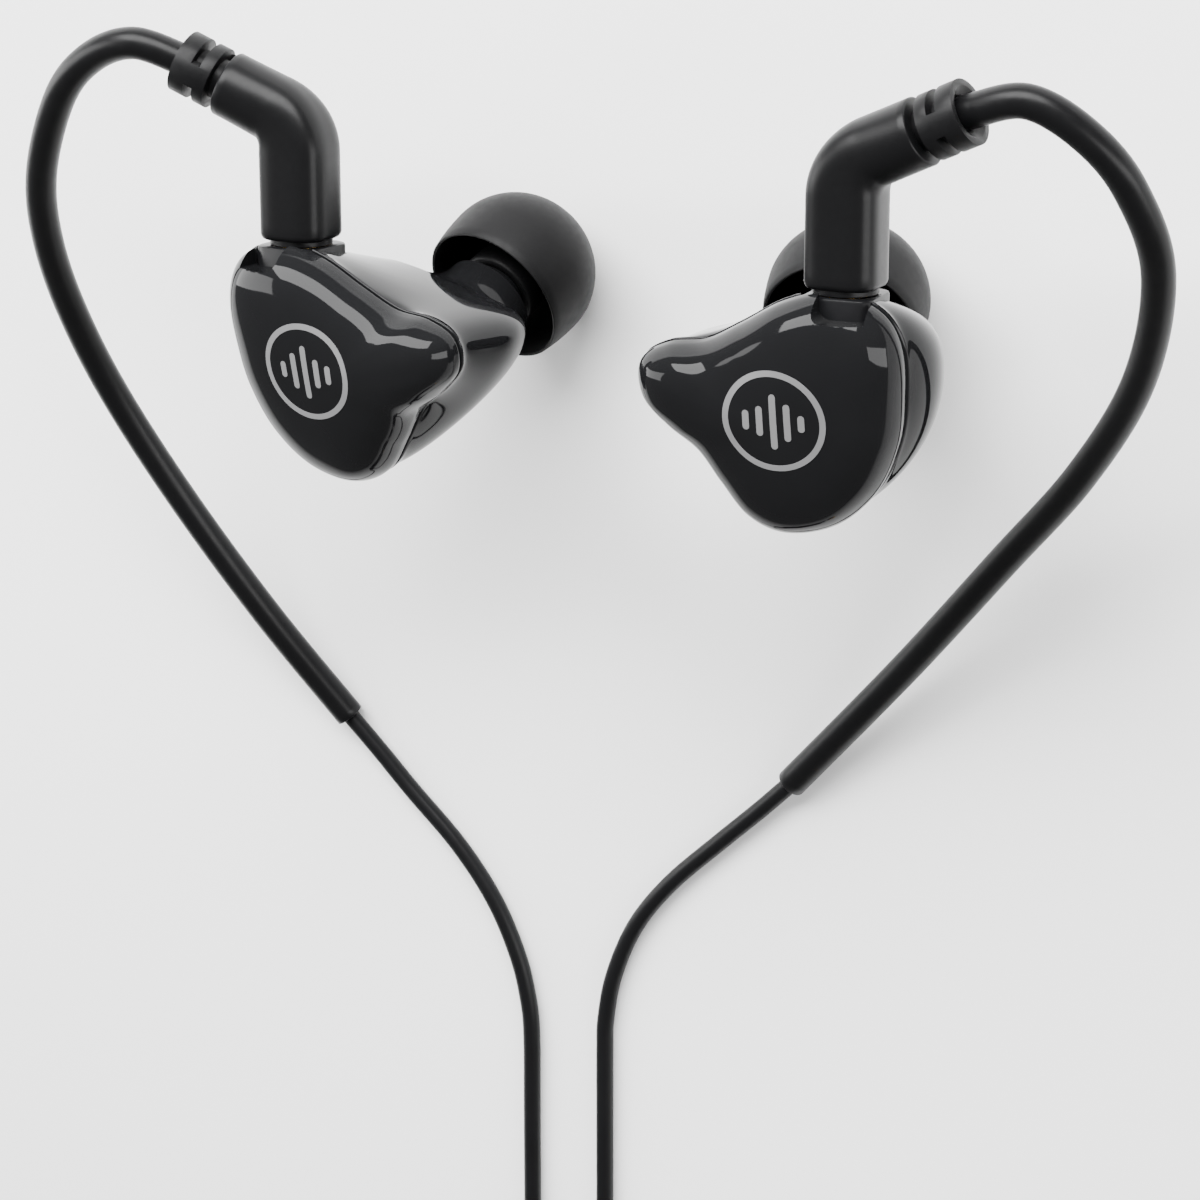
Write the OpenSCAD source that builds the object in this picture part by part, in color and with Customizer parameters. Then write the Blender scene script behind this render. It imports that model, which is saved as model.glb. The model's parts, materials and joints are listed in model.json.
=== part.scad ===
// In-ear monitors: a mirrored pair on a detachable cable, laid on a table with the
// faceplates up. Z is up, the table is z = 0, the ear hooks point to +Y, and the
// origin is under the middle of the pair. "Right" and "left" are the wearer's ears,
// so the right earphone is on the -X side.
//
// Each earphone is drawn once, in its own frame: the origin is the lower end of the
// plug barrel, +Y runs up the barrel, +Z out of the faceplate and +X towards the lobe.

/* [Earphone shell] */
// Length of the faceplate outline across the lobe
shell_w = 20; // [19.5:0.1:20.5]
// Wall of the faceplate and the inner shell
wall = 0.9; // [0.7:0.1:1.0]
// Lean of the faceplate against the plug barrel, degrees
face_lean = 13; // [12:1:14]
// Height of the faceplate's crown above the seam
face_h = 4.2; // [4:0.1:4.4]
// Turn of the right earphone about its plug at rest, degrees
right_turn = 9; // [6:1:10]
// Turn of the left earphone about its plug at rest, degrees
left_turn = 1; // [0:1:4]

/* [Ear tip] */
// Largest diameter of the silicone tip
tip_d = 12.8; // [12.4:0.1:13]
// Length of the silicone tip
tip_l = 9; // [8.6:0.1:9.2]
// Outer diameter of the sound nozzle
nozzle_d = 5; // [4.8:0.1:5.2]

/* [Cable] */
// Diameter of the two branch cords
cord_d = 1.5; // [1.4:0.1:1.6]
// Diameter of the lead below the splitter
lead_d = 2.2; // [2:0.1:2.2]
// Outer diameter of the ear-hook sleeve
hook_d = 2.5; // [2.4:0.1:2.6]
// Distance between the two cords where they run side by side
cord_gap = 7; // [6.8:0.1:7.2]

/* [Plug housing] */
// Width of the plug barrel
barrel_w = 5.5; // [5.4:0.1:5.7]
// Depth of the plug barrel
barrel_t = 5.3; // [5.2:0.1:5.5]
// Height of the barrel up to the bend's corner
barrel_h = 8.95; // [8.8:0.05:9.1]
// Diameter of the housing's arm at its end
arm_d = 5.1; // [5:0.1:5.2]

/* [Hidden] */
$fn = 48;

// ---- where the pieces lie ----
right_stem = [-19.8, 16, 24.6];        // lower end of the right plug barrel
left_stem = [25, 15.9, 25.75];         // lower end of the left plug barrel
arm_dir = [-0.904, 0.414, 0.108];      // way the housing's arm points
arm_l = 6.4;                           // corner of the bend to the arm's end
relief_l = 3.8;                        // length of the strain relief
arm_root = [0, barrel_h, 0];
arm_end = arm_root + arm_l * arm_dir;
relief_end = arm_end + relief_l * arm_dir;

// Ear hooks, from the strain relief over the ear and down to the table.
right_hook_route = [[-33, 30.4, 26.5], [-37.2, 29, 26], [-40.8, 25.6, 25],
    [-44.6, 19, 22.2], [-46.3, 12.8, 19], [-46.4, 6, 15.4], [-44.9, -1.8, 11.5],
    [-41, -11.4, 7.5], [-35.4, -21.4, 4], [-29, -30.5, 1.25]];
left_hook_route = [[38.5, 30.1, 27.5], [42.4, 27.9, 26.5], [45.2, 24, 24.5],
    [46.5, 17.6, 21], [44.1, 8.8, 16], [38.8, 0.2, 11.5], [31.8, -8.2, 7.8],
    [22.6, -19.2, 4], [12.2, -31, 1.25]];

// Cords on the table, from the end of each sleeve to the coil.
z_cord = cord_d / 2;
cord_x = -8.4;                         // midway between the two parallel cords
right_x = cord_x - cord_gap / 2;
left_x = cord_x + cord_gap / 2;
right_cord_route = [[-29, -30.5, 1.25], [-26.2, -33.5, 1], [-23.2, -36.8, 0.8],
    [-18.8, -41.2, z_cord], [-15.4, -45.8, z_cord], [-13.2, -50.6, z_cord],
    [-12.2, -54.6, z_cord], [right_x, -58, z_cord], [right_x, -65, z_cord],
    [right_x, -75, z_cord], [right_x, -85, 0.8], [-11.1, -88.4, 1],
    [-9.9, -91.8, 1.15]];
left_cord_route = [[12.2, -31, 1.25], [9.4, -33.8, 1], [5.7, -37.3, 0.8],
    [1.2, -41.7, z_cord], [-2, -46, z_cord], [-4, -50.8, z_cord],
    [-4.8, -55, z_cord], [left_x, -58, z_cord], [left_x, -65, z_cord],
    [left_x, -75, z_cord], [left_x, -85, 0.8], [-5.6, -87.6, 1],
    [-6.6, -90.2, 1.15]];
// From the coil to the splitter.
right_tail_route = [[-6.2, -116.8, 2.4], [-3.4, -120.6, 2.3], [1, -124.2, 2.2],
    [6, -125.4, 2.2]];
left_tail_route = [[-4.2, -116, 2.4], [-1.8, -119.2, 2.3], [1.8, -122.4, 2.2],
    [6, -123.6, 2.2]];
// The lead, from the splitter round the coil and onto it, then off its top to the jack.
lead_route = [[18, -124.5, 2.2], [20.7, -123.7, 1.6], [23.4, -121, 1.1],
    [25.4, -116.4, 1.1], [26, -110, 1.1], [25.6, -103.5, 1.1], [24.2, -97, 1.1],
    [21.4, -91.4, 1.6], [17.2, -87.2, 2.6], [12, -84.8, 3.6], [6.5, -84.5, 4.4],
    [2, -85.4, 4.7]];
jack_pos = [33, -113, 3.6];
jack_lead_route = [[10.6, -119.4, 7], [14.5, -119.2, 6.9], [19, -119.6, 6.2],
    [23.5, -120, 5.2], [27.5, -119.8, 4.3], [30.8, -118.4, 3.7], [32.5, -115.9, 3.6],
    jack_pos];

// The rest of the cable, put away in one round coil.
coil_pos = [5, -103, 0.4];
coil_in = 5.7;
coil_out = 17.8;
coil_h = 7.8;
slider_y = -80.5;
slider_l = 8;

// ---- outline of the faceplate, in its own plane ----
outline = [[-1.8, 0.2], [-3.9, -1.1], [-4.9, -3.6], [-4.9, -7.2], [-4.3, -10.9],
    [-2.5, -14.7], [0.5, -17.5], [4.2, -18.5], [7.1, -17.4], [9.2, -14.6],
    [11, -11.9], [13.4, -10], [15.1, -8], [15, -5.6], [12.9, -4.3], [10, -3.8],
    [7.2, -2.3], [4, -0.4], [1, 0.5]];
// Fuller outline of the inner shell's belly, without the hollow under the lobe.
belly = [[-1.8, 0.2], [-3.9, -1.1], [-4.9, -3.6], [-4.9, -7.2], [-4.3, -10.9],
    [-2.5, -14.7], [0.5, -17.5], [4.3, -18.5], [8.1, -17.4], [11.4, -15],
    [13.7, -12.2], [15, -9.6], [15.3, -7.2], [14.6, -5.4], [12.7, -4.2], [10, -3.2],
    [7.2, -2], [4, -0.4], [1, 0.5]];
outline_c = [4.6, -9];                 // point that the outline shrinks towards
outline_k = shell_w / 20;
seam_n = 2.2;                          // seam's height over the barrel axis
sides = 38;

// ---- sound nozzle, in the earphone's frame ----
nozzle_turn = [208, -7, 0];            // turns +Z into the way the nozzle points
tip_rim = [6.2, -6.6, -16.7];          // middle of the ear tip's open rim
nozzle_l = 6;                          // nozzle inside the tip
nozzle_r = nozzle_d / 2;
bore_r = 1.9;
fit = 0.05;                            // clearance of a running fit

// ---- plug and socket ----
boss_w = 5.4;
boss_top = -0.45;
boss_l = 4.8;
notch_y = -1.95;                       // window in the faceplate before the boss
notch_w = 3.8;
notch_l = 5;
notch_top = 9;
neck_wall = 1.5;                       // thicker wall where the shell narrows to a neck
neck_row = 10;                         // first of the shell's rows that is neck
plug_r = 1.6;
collar_r = 2.4;                        // stop collar between the barrel and the boss
socket_r = 2.3;

// ---- vectors and paths ----
function unit(v) = v / norm(v);
function catmull(a, b, c, d, t) = 0.5 * ((2 * b) + (c - a) * t
    + (2 * a - 5 * b + 4 * c - d) * t * t + (3 * b - a - 3 * c + d) * t * t * t);
function closed_curve(pts, count) = let (m = len(pts)) [for (i = [0:count - 1])
    let (s = i * m / count, k = floor(s))
    catmull(pts[(k + m - 1) % m], pts[k % m], pts[(k + 1) % m], pts[(k + 2) % m],
        s - k)];
function open_curve(pts, steps) = let (m = len(pts)) concat([for (k = [0:m - 2])
    for (i = [0:steps - 1]) catmull(pts[max(k - 1, 0)], pts[k], pts[k + 1],
        pts[min(k + 2, m - 1)], i / steps)], [pts[m - 1]]);
function heading(path, i) = unit(path[min(i + 1, len(path) - 1)] - path[max(i - 1, 0)]);
function place_ring(p, t, ring) = let (side = unit(cross([0, 0, 1], t)),
    up = cross(t, side)) [for (q = ring) p + side * q[0] + up * q[1]];
function circle_ring(r, count) = [for (j = [0:count - 1])
    r * [cos(360 * j / count), sin(360 * j / count)]];
function power(x, e) = sign(x) * pow(abs(x), e);
function soft_square(a, b, m, count) = [for (j = [0:count - 1])
    let (t = 360 * (j + 0.5) / count) [a * power(cos(t), 2 / m),
        b * power(sin(t), 2 / m)]];

// Joins a list of rings, each a list of points, into one closed solid.
module loft(rings, closed = false) {
    m = len(rings[0]);
    n = len(rings);
    last = closed ? n - 1 : n - 2;
    walls = [for (i = [0:last]) for (j = [0:m - 1])
        let (a = i * m + j, b = i * m + (j + 1) % m,
            c = ((i + 1) % n) * m + (j + 1) % m, d = ((i + 1) % n) * m + j)
        each [[a, b, c], [a, c, d]]];
    caps = closed ? [] : [[for (j = [m - 1:-1:0]) j],
        [for (j = [0:m - 1]) (n - 1) * m + j]];
    polyhedron(points = [for (r = rings) each r], faces = concat(walls, caps),
        convexity = 6);
}

module sweep(path, ring) {
    loft([for (i = [len(path) - 1:-1:0]) place_ring(path[i], heading(path, i), ring)]);
}

// ---- frames ----
module on_right() {
    translate(right_stem) rotate([0, -right_turn, 0]) children();
}

module on_left() {
    translate(left_stem) mirror([1, 0, 0]) rotate([0, -left_turn, 0]) children();
}

module on_right_cable() {
    translate(right_stem) children();
}

module on_left_cable() {
    translate(left_stem) mirror([1, 0, 0]) children();
}

module on_face() {
    rotate([face_lean, 0, 0]) children();
}

module along_barrel() {
    rotate([-90, 0, 0]) children();
}

module at_tip() {
    translate(tip_rim) rotate(nozzle_turn) children();
}

module tube(r_out, r_in, h) {
    difference() {
        cylinder(r = r_out, h = h);
        translate([0, 0, -1]) cylinder(r = r_in, h = h + 2);
    }
}

// ---- shell ----
function to_ear(p) = let (c = cos(face_lean), s = sin(face_lean))
    [p[0], p[1] * c - p[2] * s, p[1] * s + p[2] * c];
base_curve = closed_curve(outline, sides);
belly_curve = closed_curve(belly, sides);
function face_ring(k, n) = [for (p = base_curve) let (q = outline_c
    + k * outline_k * (p - outline_c)) to_ear([q[0], q[1], n])];
nozzle_dir = let (a = nozzle_turn[0], b = nozzle_turn[1])
    [cos(a) * sin(b), -sin(a), cos(a) * cos(b)];
neck_x = unit([1, 0, 0] - nozzle_dir[0] * nozzle_dir);
neck_y = cross(-nozzle_dir, neck_x);
function neck_ring(r, h) = [for (p = base_curve)
    let (v = unit(p - outline_c)) tip_rim + h * nozzle_dir
        + r * (v[0] * neck_x + v[1] * neck_y)];
function belly_ring(row, inset) = [for (i = [0:sides - 1]) let (d = outline_k
    * ((1 - row[1]) * base_curve[i] + row[1] * belly_curve[i] - outline_c),
    k = (d[0] < 0 ? row[2] : row[3]) - inset / 10)
    to_ear([outline_c[0] + k * d[0], outline_c[1] + row[5]
        + (row[4] - inset / 10) * d[1], row[6]])];
function shell_ring(row, inset) = let (m = row[0],
    f = belly_ring(row, inset), g = neck_ring(row[7] - inset, row[8]))
    [for (i = [0:sides - 1]) (1 - m) * f[i] + m * g[i]];

crown_n = seam_n + face_h;
// Rounded edge of the faceplate: share of the outline, and of the height.
face_rows = [[0.62, 1], [0.77, 0.965], [0.87, 0.87], [0.94, 0.715], [0.98, 0.52],
    [1, 0.33], [1.005, 0.17], [1, 0]];
face_inside = [[0.9, 0], [0.91, 0.3], [0.88, 0.5], [0.8, 0.68], [0.62, 0.785]];
// Inner shell from the seam to the neck: share of the neck's circle; share of the
// belly; size of the section at the barrel side, at the lobe and along the barrel, its
// shift along the barrel and its height; radius and place of the neck's circle.
shell_rows = [[0, 0, 1, 1, 1, 0, 2.2, 7, -9], [0, 0.25, 1.1, 1, 1, -0.4, 0.8, 7, -9],
    [0, 0.65, 1.16, 1, 0.97, -0.8, -1, 7, -9], [0, 0.95, 1.16, 1.02, 0.84, -1, -3, 7, -9],
    [0, 1, 1.08, 1.03, 0.71, -0.8, -5, 7, -9],
    [0.04, 1, 0.98, 1, 0.6, -0.6, -6.8, 6.6, -8],
    [0.15, 1, 0.88, 0.92, 0.53, -0.5, -8.2, 6, -7],
    [0.36, 1, 0.76, 0.82, 0.48, -0.4, -9.2, 5.2, -5.8],
    [0.62, 1, 0.64, 0.68, 0.46, 0, -9.8, 4.4, -4.6],
    [0.87, 1, 0.5, 0.5, 0.5, 0, -10.2, 4.3, -3.4],
    [1, 1, 0.5, 0.5, 0.5, 0, -10, 4.1, -2], [1, 1, 0.5, 0.5, 0.5, 0, -10, 3.9, -0.6]];
neck_end = -0.6;

module down_barrel(depth) {
    rotate([90, 0, 0]) translate([0, 0, depth]) children();
}

module boss_block(grow) {
    down_barrel(-boss_top - 1) translate([-boss_w / 2 - grow, -boss_w / 2 - grow, 0])
        cube([boss_w + 2 * grow, boss_w + 2 * grow, boss_l + 1 + grow]);
}

module faceplate() {
    color("#101114") difference() {
        loft(concat([for (r = face_rows) face_ring(r[0], seam_n + face_h * r[1])],
            [for (r = face_inside) face_ring(r[0], seam_n + face_h * r[1])]));
        boss_block(0.04);
        translate([-boss_w / 2 - 0.04, notch_y, 0]) cube([notch_w, notch_l, notch_top]);
    }
}

// A plain level mark: a thin ring round five bars.
module emblem() {
    color("#8f9092") on_face() translate([3.7, -8, crown_n]) {
        tube(3.9, 3.45, 0.12);
        for (i = [-2:2])
            let (h = [1.3, 2.9, 4.3, 2.3, 1.5][i + 2])
                translate([1.05 * i - 0.25, -h / 2, 0]) cube([0.5, h, 0.12]);
    }
}

module inner_shell() {
    color("#0e0f12") {
        difference() {
            loft(concat([for (r = shell_rows) shell_ring(r, 0)],
                [for (i = [len(shell_rows) - 1:-1:0]) shell_ring(shell_rows[i],
                    i < neck_row ? wall : neck_wall)]), closed = true);
            boss_block(0.04);
        }
        at_tip() translate([0, 0, neck_end - 0.3]) tube(nozzle_r, bore_r,
            nozzle_l - neck_end + 0.3);
    }
}

module nozzle_screen() {
    screen_r = bore_r - 0.02;
    color("#3c3c3e") at_tip() translate([0, 0, nozzle_l - 0.6]) difference() {
        cylinder(r = screen_r, h = 0.25);
        for (x = [-1:1]) for (y = [-1:1])
            translate([0.85 * x, 0.85 * y, -1]) cylinder(r = 0.24, h = 3);
    }
}

// Silicone dome: a thin skirt open at the rim, on a core that grips the nozzle.
module ear_tip() {
    skirt_r = tip_d / 2;
    skin = 0.45;
    core_r = 3.3;
    dome_h = tip_l - 3.4;
    mouth_r = 2;
    outer = [for (t = [0:6:66]) [skirt_r * cos(t), 3.4 + dome_h * sin(t) / sin(66)]];
    inner = [for (t = [60:-6:0]) [(skirt_r - skin) * cos(t),
        3.4 + (dome_h - 0.7) * sin(t) / sin(66)]];
    color("#1c1c1d") at_tip() rotate_extrude() polygon(concat(
        [[skirt_r - 0.35, 0], [skirt_r - 0.12, 1.6]], outer,
        [[mouth_r + 0.15, tip_l], [mouth_r, tip_l - 0.2], [mouth_r, nozzle_l + 0.1],
            [nozzle_r + fit, nozzle_l + 0.1], [nozzle_r + fit, 0.6], [core_r - 0.2, 0.6],
            [core_r, 0.9]], inner,
        [[skirt_r - 0.12 - skin, 1.6], [skirt_r - 0.35 - skin, 0]]));
}

// ---- socket in the shell ----
module socket_boss() {
    color("#151517") difference() {
        down_barrel(-boss_top) translate([-boss_w / 2, -boss_w / 2, 0])
            cube([boss_w, boss_w, boss_l]);
        down_barrel(-6) cylinder(r = socket_r, h = 14);
    }
}

module socket_shell() {
    color("#b08d4a") down_barrel(-boss_top) difference() {
        cylinder(r = socket_r, h = 4.6);
        translate([0, 0, -1]) cylinder(r = plug_r + fit, h = 5);
        translate([0, 0, -1]) cylinder(r = 1.2, h = 8);
    }
}

module socket_insulator() {
    color("#e8e4da") down_barrel(-boss_top + 2.2) tube(1.2, 0.6, 2.6);
}

module socket_contact() {
    color("#c9a24e") down_barrel(-boss_top + 2.2) difference() {
        cylinder(r = 0.6, h = 3.4);
        translate([0, 0, -1]) cylinder(r = 0.3 + fit, h = 2.6);
    }
}

// ---- plug on the cable ----
module plug_housing() {
    bend_r = 3.6;
    bend = acos(arm_dir[1]);
    cut = bend_r * tan(bend / 2);
    start = [0, barrel_h - cut, 0];
    side = unit([arm_dir[0], 0, arm_dir[2]]);
    path = concat([[0, 0, 0], [0, 0.3, 0], [0, 3, 0], [0, 5, 0]],
        [for (i = [0:8]) let (a = bend * i / 8)
            start + bend_r * (1 - cos(a)) * side + [0, bend_r * sin(a), 0]],
        [for (s = [3.4, 4.5, 5.6, arm_l]) arm_root + s * arm_dir]);
    last = len(path) - 1;
    color("#2a2a2b") difference() {
        loft([for (i = [last:-1:0])
            let (t = min(1, max(0, (i - 6) / (last - 6))), m = 3.6 - 1.6 * t,
                grow = i == 0 ? -0.25 : 0,
                a = (barrel_w * (1 - t) + arm_d * t) / 2 + grow,
                b = (barrel_t * (1 - t) + arm_d * t) / 2 + grow,
                h = i == 0 ? [0, 1, 0] : i == last ? arm_dir : heading(path, i))
            place_ring(path[i], h, soft_square(a, b, m, 28))]);
        along_barrel() translate([0, 0, 4.2]) mirror([0, 0, 1])
            cylinder(r = plug_r, h = 6);
    }
    color("#2a2a2b") along_barrel() translate([0, 0, boss_top + 0.05])
        tube(collar_r, plug_r, 0.5);
}

module plug_shell() {
    color("#b08d4a") along_barrel() translate([0, 0, -3.2]) tube(plug_r, 1.25, 7.4);
}

module plug_insulator() {
    color("#e8e4da") along_barrel() translate([0, 0, -1.6]) tube(1.25, 0.3, 5);
}

module plug_pin() {
    color("#c9a24e") along_barrel() translate([0, 0, -3.9]) cylinder(r = 0.3, h = 8);
}

function arm_turn() = [0, acos(arm_dir[2]), atan2(arm_dir[1], arm_dir[0])];

// Slotted boot: one slot round the front, then a pair of windows.
module strain_relief() {
    r = arm_d / 2 - 0.1;
    color("#232324") translate(arm_end) rotate(arm_turn()) difference() {
        union() {
            cylinder(r = r - 0.85, h = relief_l - 0.05);
            translate([0, 0, 0.75]) cylinder(r = r, h = 0.95);
            translate([0, 0, 2.45]) cylinder(r = r, h = relief_l - 2.45);
            difference() {
                cylinder(r = r, h = relief_l - 0.5);
                translate([-r - 1, -r - 1, 0]) cube([2 * r + 0.3, 2 * r + 2, 0.75]);
                for (s = [-1, 1]) translate([-r - 1, s * (r + 0.9) - r, 1.7])
                    cube([2 * r + 2, 2 * r, 0.75]);
            }
        }
        translate([0, 0, relief_l - 0.5]) difference() {
            cylinder(r1 = hook_d / 2, r2 = r - 0.35, h = 0.6);
            translate([0, 0, -1]) cylinder(r = hook_d / 2, h = 3);
        }
        translate([0, 0, relief_l - 1.2]) cylinder(r = hook_d / 2, h = 3);
    }
}

// ---- driver unit, with its own +Z towards the nozzle ----
module in_driver() {
    on_face() translate([5.4, -10.4, -0.2]) rotate([180, 0, 0]) children();
}

driver_r = 4.4;

module driver_frame() {
    color("#55575b") in_driver() {
        tube(driver_r, 0.6, 0.5);
        tube(driver_r, driver_r - 0.6, 3.2);
    }
}

module driver_magnet() {
    color("#8d8f93") in_driver() {
        translate([0, 0, 0.5]) tube(2.5, 0.6, 1.1);
        translate([0, 0, 1.6]) tube(2.6, 0.6, 0.3);
    }
}

module voice_coil() {
    color("#b5652b") in_driver() translate([0, 0, 1.35]) tube(2.95, 2.75, 1.2);
}

module diaphragm() {
    color("#c9c4ba") in_driver() rotate_extrude() polygon([[0, 2.8], [2, 2.65],
        [3, 2.55], [3.7, 2.55], [3.7, 2.65], [3, 2.65], [2, 2.75], [0, 2.9]]);
}

// ---- second driver, in the lobe ----
module armature_driver() {
    color("#9ea1a6") on_face() {
        translate([8.6, -8.6, 0.2]) cube([4.6, 2.7, 1.9]);
        translate([9.6, -8.6, 0.9]) rotate([90, 0, 0]) cylinder(r = 0.4, h = 0.6);
    }
}

module sound_tube() {
    route = [[9.6, -9.25, 0.9], [10.1, -9.5, 0.1], [10.4, -9.6, -1.5],
        [10.1, -9.8, -3.7], [9, -10.3, -5.6], [7.4, -10.8, -7.4], [6.4, -10.9, -9.2],
        [6, -10.6, -11]];
    color("#d9d6cf") sweep([for (p = open_curve(route, 2)) to_ear(p)],
        circle_ring(0.4, 8));
}

module crossover_board() {
    color("#1f5a3c") on_face() {
        translate([0.6, -13.4, 3]) cube([6, 4.2, 0.5]);
        translate([1.4, -12.6, 3.5]) cube([1.6, 0.9, 0.6]);
        translate([4.2, -11, 3.5]) cube([1.2, 0.8, 0.5]);
        translate([3.6, -12.9, 3.5]) cube([2.2, 1.1, 0.7]);
    }
}

module lead_wires() {
    r = 0.16;
    from_socket = [[0, -6.3, 1.5], [0.5, -7.2, 2], [1.1, -8.4, 2.8], [1.4, -9, 3.2]];
    to_driver = [[3.2, -9, 3.2], [3.5, -8.5, 2.2], [4, -8.6, 1], [4.3, -9, 0]];
    to_armature = [[6.8, -10.4, 3.3], [8.2, -9.7, 3.1], [9.2, -8.3, 2.8], [9.9, -7.2, 2.3]];
    color("#a33a2c") for (route = [from_socket, to_driver, to_armature])
        for (x = [0, 0.5]) sweep([for (p = open_curve(route, 2))
            to_ear([p[0] + x, p[1], p[2]])], circle_ring(r, 6));
}

// ---- cable ----
function table_path(stem, flip, route) = concat(
    [stem + [flip * relief_end[0], relief_end[1], relief_end[2]]
        - 1.2 * [flip * arm_dir[0], arm_dir[1], arm_dir[2]]],
    [stem + [flip * relief_end[0], relief_end[1], relief_end[2]]], route);

module ear_hook(path) {
    color("#1d1d1e") sweep(open_curve(path, 2), circle_ring(hook_d / 2, 12));
}

module right_ear_hook() {
    ear_hook(table_path(right_stem, 1, right_hook_route));
}

module left_ear_hook() {
    ear_hook(table_path(left_stem, -1, left_hook_route));
}

module cord(route) {
    color("#2b2b2c") sweep(open_curve(route, 2), circle_ring(cord_d / 2, 8));
}

// Bead on the two cords; it slides up under the chin.
module chin_slider() {
    w = cord_gap + 4.4;
    h = 4.4;
    r = 1.4;
    color("#1e1e1f") translate([cord_x, slider_y, 0]) rotate([90, 0, 0])
        translate([0, 0, -slider_l / 2]) difference() {
            linear_extrude(slider_l) union() {
                translate([-w / 2 + r, 0.1]) square([w - 2 * r, h - 0.1]);
                translate([-w / 2, 0.1 + r]) square([w, h - 0.1 - 2 * r]);
                for (x = [-1, 1]) for (y = [0.1 + r, h - r])
                    translate([x * (w / 2 - r), y]) circle(r);
            }
            for (x = [-1, 1]) translate([x * cord_gap / 2, z_cord, -1])
                cylinder(r = z_cord + 0.08, h = slider_l + 2);
        }
}

module cable_coil() {
    e = 1.6;
    color("#262627") translate(coil_pos) rotate_extrude() polygon([[coil_in + e, 0],
        [coil_out - e, 0], [coil_out, e], [coil_out, coil_h - e],
        [coil_out - e, coil_h], [coil_in + e, coil_h], [coil_in, coil_h - e],
        [coil_in, e]]);
}

// Band of hook-and-loop tape round one side of the coil.
module coil_tie() {
    t = 0.4;
    w = 5;
    len_r = coil_out - coil_in;
    color("#303032") translate([coil_pos[0] + coil_in - t, coil_pos[1] - w / 2, 0])
        difference() {
            cube([len_r + 2 * t, w, coil_h + 2 * t]);
            translate([t, -1, t]) cube([len_r, w + 2, coil_h]);
        }
}

// Block where the two cords join into one lead.
module cable_splitter() {
    h = 4.4;
    w = 5.6;
    r = 1.6;
    l = 12;
    color("#1e1e1f") translate([6, -124.5, 2.2]) rotate([90, 0, 90]) difference() {
        linear_extrude(l) union() {
            translate([-w / 2 + r, -h / 2]) square([w - 2 * r, h]);
            translate([-w / 2, -h / 2 + r]) square([w, h - 2 * r]);
            for (x = [-1, 1]) for (y = [-1, 1])
                translate([x * (w / 2 - r), y * (h / 2 - r)]) circle(r);
        }
        for (x = [-1, 1]) translate([x * 0.9, 0, -1]) cylinder(r = cord_d / 2, h = 1.8);
        translate([0, 0, l - 1.5]) cylinder(r = lead_d / 2, h = 2);
    }
}

module lead(route) {
    color("#2b2b2c") sweep(open_curve(route, 1), circle_ring(lead_d / 2, 8));
}

// ---- stereo jack, its own +Z towards the tip ----
module in_jack() {
    translate(jack_pos) rotate([-90, 0, 0]) children();
}

boot_l = 9;
body_l = 15;
body_r = 3.4;
jack_r = 1.75;
shaft_at = boot_l + body_l;

module jack_boot() {
    color("#1c1c1d") in_jack() difference() {
        rotate_extrude() polygon([[0, 0], [1.9, 0], [2.1, 0.3], [2.1, 1], [1.5, 1.2],
            [1.5, 1.8], [2.25, 2], [2.25, 3], [1.95, 3.2], [1.95, 3.8], [2.4, 4],
            [2.4, 5], [2.1, 5.2], [2.1, 5.8], [2.55, 6], [2.55, 7.4], [2.7, boot_l],
            [0, boot_l]]);
        translate([0, 0, -1]) cylinder(r = lead_d / 2, h = 3);
    }
}

module jack_body() {
    color("#2a2a2b") in_jack() translate([0, 0, boot_l]) rotate_extrude() polygon([
        [0, 0], [body_r - 0.5, 0], [body_r, 0.6], [body_r, body_l - 2.4],
        [body_r - 0.3, body_l - 0.7], [2.7, body_l], [0, body_l]]);
}

module jack_sleeve() {
    color("#c8a55a") in_jack() translate([0, 0, shaft_at]) {
        tube(jack_r, 0.9, 7);
        tube(2.5, jack_r - 0.05, 0.6);
    }
}

module jack_ring() {
    color("#c8a55a") in_jack() translate([0, 0, shaft_at + 7.5]) tube(jack_r, 0.9, 2.4);
}

module jack_tip() {
    color("#c8a55a") in_jack() translate([0, 0, shaft_at]) {
        cylinder(r = 0.9, h = 10.4);
        translate([0, 0, 10.4]) rotate_extrude() polygon([[0, 0], [jack_r, 0],
            [jack_r, 0.5], [1.2, 1.3], [1.25, 1.6], [1.55, 2.1], [1.5, 2.6],
            [0.5, 3.6], [0, 3.6]]);
    }
}

module jack_insulators() {
    color("#161616") in_jack() translate([0, 0, shaft_at]) for (z = [7, 9.9])
        translate([0, 0, z]) tube(jack_r - 0.02, 0.9, 0.5);
}

module right_cord() {
    cord(right_cord_route);
    cord(right_tail_route);
}

module left_cord() {
    cord(left_cord_route);
    cord(left_tail_route);
}

module main_lead() {
    lead(lead_route);
    lead(jack_lead_route);
}

on_right() faceplate();  // right_faceplate
on_right() emblem();  // right_emblem
on_right() inner_shell();  // right_inner_shell
on_right() nozzle_screen();  // right_nozzle_screen
on_right() ear_tip();  // right_ear_tip
on_right() socket_boss();  // right_socket_boss
on_right() socket_shell();  // right_socket_shell
on_right() socket_insulator();  // right_socket_insulator
on_right() socket_contact();  // right_socket_contact
on_right() driver_frame();  // right_driver_frame
on_right() driver_magnet();  // right_driver_magnet
on_right() diaphragm();  // right_diaphragm
on_right() voice_coil();  // right_voice_coil
on_right() armature_driver();  // right_armature_driver
on_right() sound_tube();  // right_sound_tube
on_right() crossover_board();  // right_crossover_board
on_right() lead_wires();  // right_lead_wires
on_right_cable() plug_housing();  // right_plug_housing
on_right_cable() plug_shell();  // right_plug_shell
on_right_cable() plug_insulator();  // right_plug_insulator
on_right_cable() plug_pin();  // right_plug_pin
on_right_cable() strain_relief();  // right_strain_relief
right_ear_hook();
right_cord();
on_left() faceplate();  // left_faceplate
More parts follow.
